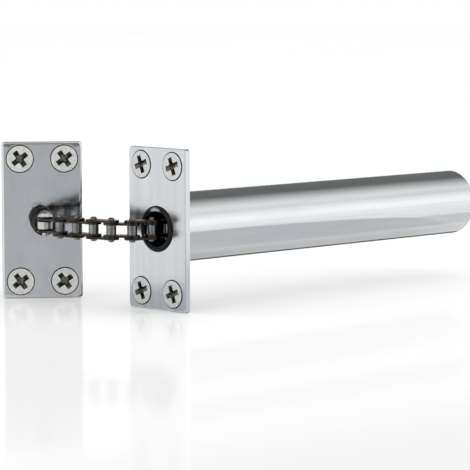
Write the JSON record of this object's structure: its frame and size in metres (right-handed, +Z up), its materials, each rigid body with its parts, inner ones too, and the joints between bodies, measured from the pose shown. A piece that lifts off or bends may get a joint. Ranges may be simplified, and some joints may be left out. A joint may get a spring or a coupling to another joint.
{
  "type": "concealed door closer",
  "caption": "Concealed door closer: a spring tube for the door's edge pulls on a bush chain that runs through its face plate to an anchor plate in the frame.",
  "frame": {"origin": "on the spring tube's axis, in the plane of the face plate's back, where it seats on the door's edge", "axes": "+X along the tube, into the door; +Z up, along the face plate's long side and the chain's pins; +Y to the side that the chain bends to"},
  "size_m": [0.1889, 0.0969, 0.06],
  "materials": {
    "plate_steel": "satin",
    "tube_steel": "polished",
    "screw_steel": "satin nickel",
    "guide_nylon": "glossy",
    "seat_steel": "zinc plated",
    "spring_steel": "oiled",
    "rod_steel": "bright drawn",
    "link_plate_steel": "burnished dark",
    "bush_steel": "ground",
    "pin_steel": "ground",
    "anchor_steel": "machined"
  },
  "bodies": {
    "door_unit": {"face_plate": "plate_steel", "face_plate_screws": "screw_steel", "chain_guide": "guide_nylon", "tube_casing": "tube_steel", "tube_end_cap": "tube_steel", "spring_seat": "seat_steel", "pull_spring": "spring_steel"},
    "rod": {"pull_rod": "rod_steel", "piston": "seat_steel", "rod_nuts": "rod_steel"},
    "link_12": {"link_12_plates": "link_plate_steel", "link_12_pins": "pin_steel"},
    "link_11": {"link_11_plates": "link_plate_steel", "link_11_bushes": "bush_steel"},
    "link_10": {"link_10_plates": "link_plate_steel", "link_10_pins": "pin_steel"},
    "link_09": {"link_09_plates": "link_plate_steel", "link_09_bushes": "bush_steel"},
    "link_08": {"link_08_plates": "link_plate_steel", "link_08_pins": "pin_steel"},
    "link_07": {"link_07_plates": "link_plate_steel", "link_07_bushes": "bush_steel"},
    "link_06": {"link_06_plates": "link_plate_steel", "link_06_pins": "pin_steel"},
    "link_05": {"link_05_plates": "link_plate_steel", "link_05_bushes": "bush_steel"},
    "link_04": {"link_04_plates": "link_plate_steel", "link_04_pins": "pin_steel"},
    "link_03": {"link_03_plates": "link_plate_steel", "link_03_bushes": "bush_steel"},
    "link_02": {"link_02_plates": "link_plate_steel", "link_02_pins": "pin_steel"},
    "link_01": {"link_01_plates": "link_plate_steel", "link_01_bushes": "bush_steel"},
    "anchor": {"anchor_stud": "anchor_steel", "anchor_rivet": "pin_steel", "anchor_washer": "link_plate_steel"},
    "anchor_plate_unit": {"anchor_plate": "plate_steel", "anchor_sleeve": "anchor_steel", "anchor_plate_screws": "screw_steel"}
  },
  "joints": [
    {"name": "rod_slide", "type": "slide", "parent": "door_unit", "child": "rod", "axis": [1, 0, 0], "range_m": [-0.038, 0], "stiffness_N_per_m": 800, "springref_m": 0.06, "deforming": ["pull_spring"]},
    {"name": "link_12_hinge", "type": "hinge", "parent": "rod", "child": "link_12", "pos_m": [0.042, 0, 0], "axis": [0, 0, 1], "range_deg": [-1, 1]},
    {"name": "link_11_hinge", "type": "hinge", "parent": "link_12", "child": "link_11", "pos_m": [0.0342, 0, 0], "axis": [0, 0, 1], "range_deg": [-1, 1]},
    {"name": "link_10_hinge", "type": "hinge", "parent": "link_11", "child": "link_10", "pos_m": [0.0264, 0, 0], "axis": [0, 0, 1], "range_deg": [-1, 1]},
    {"name": "link_09_hinge", "type": "hinge", "parent": "link_10", "child": "link_09", "pos_m": [0.0186, 0, 0], "axis": [0, 0, 1], "range_deg": [-1, 1]},
    {"name": "link_08_hinge", "type": "hinge", "parent": "link_09", "child": "link_08", "pos_m": [0.0108, 0, 0], "axis": [0, 0, 1], "range_deg": [-1, 1]},
    {"name": "link_07_hinge", "type": "hinge", "parent": "link_08", "child": "link_07", "pos_m": [0.003, 0, 0], "axis": [0, 0, 1], "range_deg": [-2, 2]},
    {"name": "link_06_hinge", "type": "hinge", "parent": "link_07", "child": "link_06", "pos_m": [-0.0048, 0, 0], "axis": [0, 0, 1], "range_deg": [-7, 27]},
    {"name": "link_05_hinge", "type": "hinge", "parent": "link_06", "child": "link_05", "pos_m": [-0.01208, 0.0028, 0], "axis": [0, 0, 1], "range_deg": [-2, 37]},
    {"name": "link_04_hinge", "type": "hinge", "parent": "link_05", "child": "link_04", "pos_m": [-0.01688, 0.00894, 0], "axis": [0, 0, 1], "range_deg": [-4, 29]},
    {"name": "link_03_hinge", "type": "hinge", "parent": "link_04", "child": "link_03", "pos_m": [-0.0189, 0.01648, 0], "axis": [0, 0, 1], "range_deg": [-11, 10]},
    {"name": "link_02_hinge", "type": "hinge", "parent": "link_03", "child": "link_02", "pos_m": [-0.02039, 0.02413, 0], "axis": [0, 0, 1], "range_deg": [-14, 5]},
    {"name": "link_01_hinge", "type": "hinge", "parent": "link_02", "child": "link_01", "pos_m": [-0.02201, 0.03176, 0], "axis": [0, 0, 1], "range_deg": [-7, 12]},
    {"name": "anchor_hinge", "type": "hinge", "parent": "link_01", "child": "anchor", "pos_m": [-0.02283, 0.03952, 0], "axis": [0, 0, 1], "range_deg": [-9.3, 102.7]},
    {"name": "tension_adjust", "type": "hinge", "parent": "anchor", "child": "anchor_plate_unit", "pos_m": [-0.00938, 0.05756, 0], "axis": [0.5976, 0.8018, 0], "range_deg": [-180, 180]}
  ]
}
